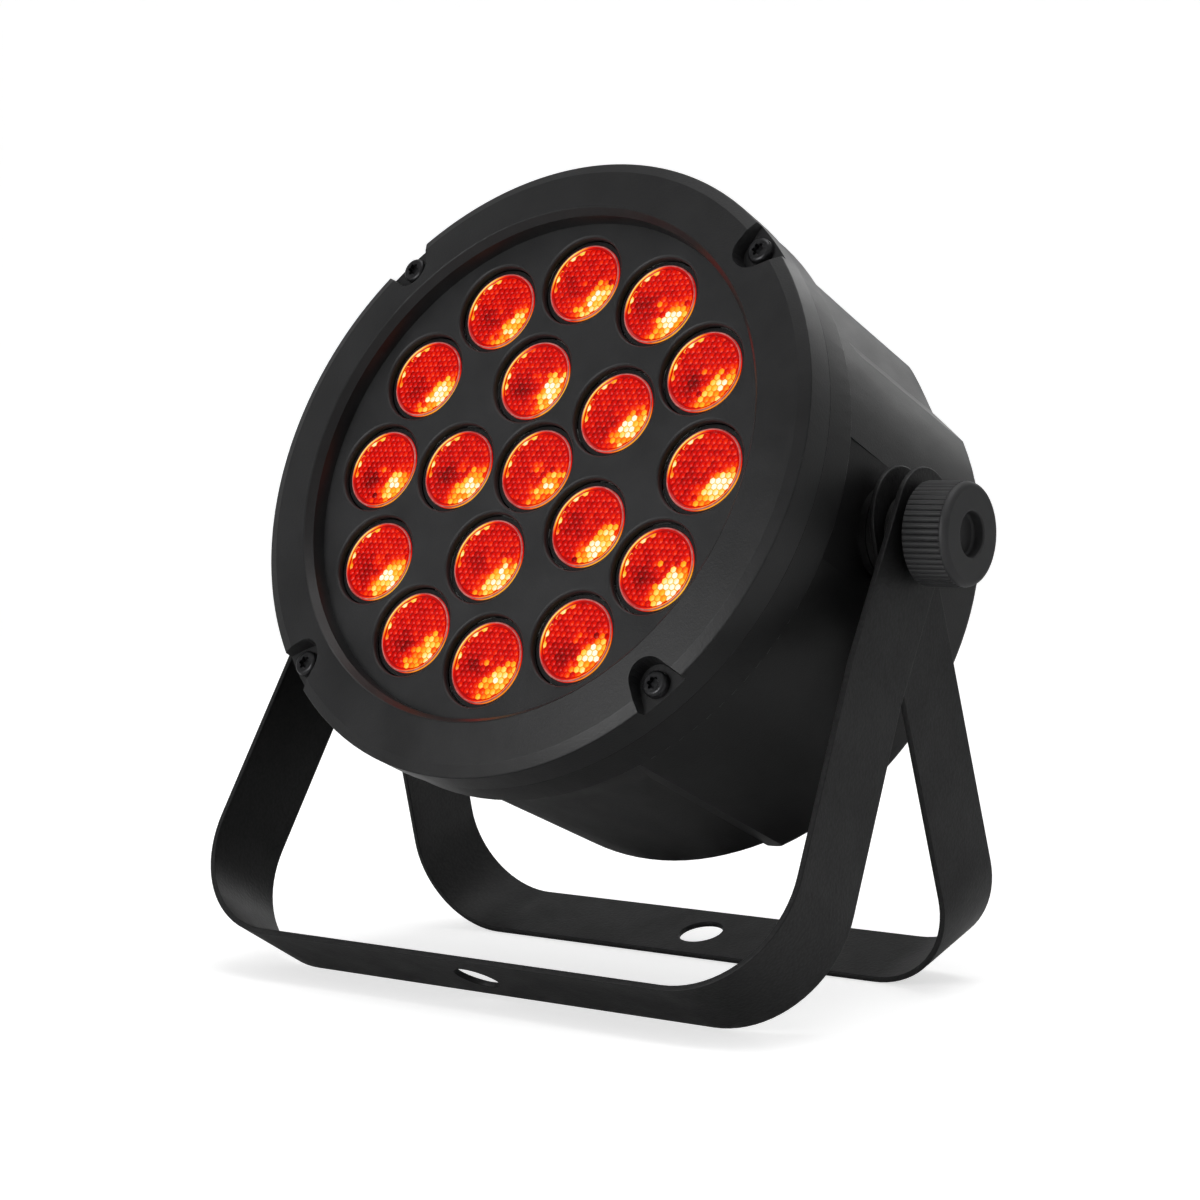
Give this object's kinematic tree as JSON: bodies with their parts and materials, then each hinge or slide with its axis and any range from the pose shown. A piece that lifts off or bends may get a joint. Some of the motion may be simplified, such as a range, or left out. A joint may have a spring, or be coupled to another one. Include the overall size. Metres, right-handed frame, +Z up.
{
  "type": "stage par can light",
  "caption": "Round LED par can light with a lens cluster in a wide bezel, a tapering housing and two flat U brackets clamped by ribbed side knobs.",
  "frame": {"origin": "on the floor, in the middle of the footprint box of the lamp standing on its two brackets", "axes": "+Z up, the face looks towards -Y and upwards, +X along the pivot axis to the lamp's left-hand knob as seen from behind the lamp"},
  "size_m": [0.2056, 0.1528, 0.2079],
  "materials": {
    "housing_plastic": "fine moulded grain",
    "bezel_plastic": "fine moulded grain",
    "lens_panel_plastic": "fine moulded grain",
    "black_screws": "black oxide",
    "red_lens": "clear acrylic lens lit red, honeycomb front",
    "holder_plastic": "moulded",
    "led": "phosphor and clear dome",
    "led_board_white": "white solder resist on aluminium",
    "heat_sink_metal": "plain cast",
    "zinc_steel": "zinc plated",
    "brass": "turned",
    "board_green": "solder resist",
    "ferrite": "ferrite and tape",
    "capacitor_sleeve": "shrink sleeve",
    "switch_plastic": "moulded",
    "display_red": "dark red segments",
    "wire_sheath": "wire insulation",
    "wire_sheath_red": "wire insulation",
    "panel_paint": "black powder coat",
    "window_clear": "smoked acrylic",
    "socket_metal": "black nickel",
    "contact_metal": "plated contact",
    "inlet_plastic": "satin moulded",
    "nylon_black": "nylon",
    "button_rubber": "satin",
    "knob_rubber": "satin black, moulded ribs",
    "black_steel": "black oxide",
    "bracket_paint": "black powder coat, fine texture"
  },
  "bodies": {
    "front_bracket": {"front_bracket": "bracket_paint", "ear_washers": "nylon_black"},
    "rear_bracket": {"rear_bracket": "bracket_paint"},
    "head": {"bezel_screws": "black_screws", "board_standoffs": "brass", "centre_lens": "red_lens", "control_board": "board_green", "control_posts": "brass", "data_contact_pins": "contact_metal", "data_socket_in": "socket_metal", "data_socket_out": "socket_metal", "display_module": "display_red", "display_window": "window_clear", "front_bezel": "bezel_plastic", "fuse_holder": "inlet_plastic", "heat_sink": "heat_sink_metal", "heat_sink_screws": "zinc_steel", "inlet_blades": "contact_metal", "inner_lenses": "red_lens", "led_board": "led_board_white", "led_emitters": "led", "led_wires": "wire_sheath_red", "lens_holders": "holder_plastic", "lens_panel": "lens_panel_plastic", "mains_wires": "wire_sheath", "outer_lenses": "red_lens", "pad_washer_left": "nylon_black", "pad_washer_right": "nylon_black", "pivot_insert_left": "brass", "pivot_insert_right": "brass", "power_board": "board_green", "power_capacitors": "capacitor_sleeve", "power_inlet": "inlet_plastic", "power_transformer": "ferrite", "push_switches": "switch_plastic", "rear_housing": "housing_plastic", "rear_panel": "panel_paint", "rear_panel_screws": "black_screws", "safety_eye": "zinc_steel", "socket_screws": "black_screws"},
    "knob_travel_right": {"knob_washer_right": "black_steel"},
    "knob_right": {"knob_grip_right": "knob_rubber", "knob_stud_right": "zinc_steel"},
    "knob_travel_left": {"knob_washer_left": "black_steel"},
    "knob_left": {"knob_grip_left": "knob_rubber", "knob_stud_left": "zinc_steel"},
    "button_enter": {"button_enter": "button_rubber"},
    "button_down": {"button_down": "button_rubber"},
    "button_up": {"button_up": "button_rubber"},
    "button_menu": {"button_menu": "button_rubber"}
  },
  "joints": [
    {"name": "head_tilt", "type": "hinge", "parent": "front_bracket", "child": "head", "pos_m": [0, -0.00322, 0.11495], "axis": [1, 0, 0], "range_deg": [-67.5, 112.5]},
    {"name": "rear_bracket_swing", "type": "hinge", "parent": "front_bracket", "child": "rear_bracket", "pos_m": [0, -0.00322, 0.11495], "axis": [1, 0, 0], "range_deg": [-46, 100]},
    {"name": "knob_slide_right", "type": "slide", "parent": "head", "child": "knob_travel_right", "axis": [1, 0, 0], "range_m": [0, 0.0025]},
    {"name": "knob_turn_right", "type": "hinge", "parent": "knob_travel_right", "child": "knob_right", "pos_m": [0.096, -0.00322, 0.11495], "axis": [1, 0, 0], "range_deg": [0, 740]},
    {"name": "knob_slide_left", "type": "slide", "parent": "head", "child": "knob_travel_left", "axis": [-1, 0, 0], "range_m": [0, 0.0025]},
    {"name": "knob_turn_left", "type": "hinge", "parent": "knob_travel_left", "child": "knob_left", "pos_m": [-0.096, -0.00322, 0.11495], "axis": [-1, 0, 0], "range_deg": [0, 740]},
    {"name": "button_enter_press", "type": "slide", "parent": "head", "child": "button_enter", "axis": [0, -0.9239, 0.3827], "range_m": [0, 0.0008], "stiffness_N_per_m": 1500, "springref_m": -0.0002},
    {"name": "button_down_press", "type": "slide", "parent": "head", "child": "button_down", "axis": [0, -0.9239, 0.3827], "range_m": [0, 0.0008], "stiffness_N_per_m": 1500, "springref_m": -0.0002},
    {"name": "button_up_press", "type": "slide", "parent": "head", "child": "button_up", "axis": [0, -0.9239, 0.3827], "range_m": [0, 0.0008], "stiffness_N_per_m": 1500, "springref_m": -0.0002},
    {"name": "button_menu_press", "type": "slide", "parent": "head", "child": "button_menu", "axis": [0, -0.9239, 0.3827], "range_m": [0, 0.0008], "stiffness_N_per_m": 1500, "springref_m": -0.0002}
  ],
  "couplings": [
    {"joint": "knob_turn_right", "follows": "knob_slide_right", "rad_per_m": 5026.5},
    {"joint": "knob_turn_left", "follows": "knob_slide_left", "rad_per_m": 5026.5}
  ]
}
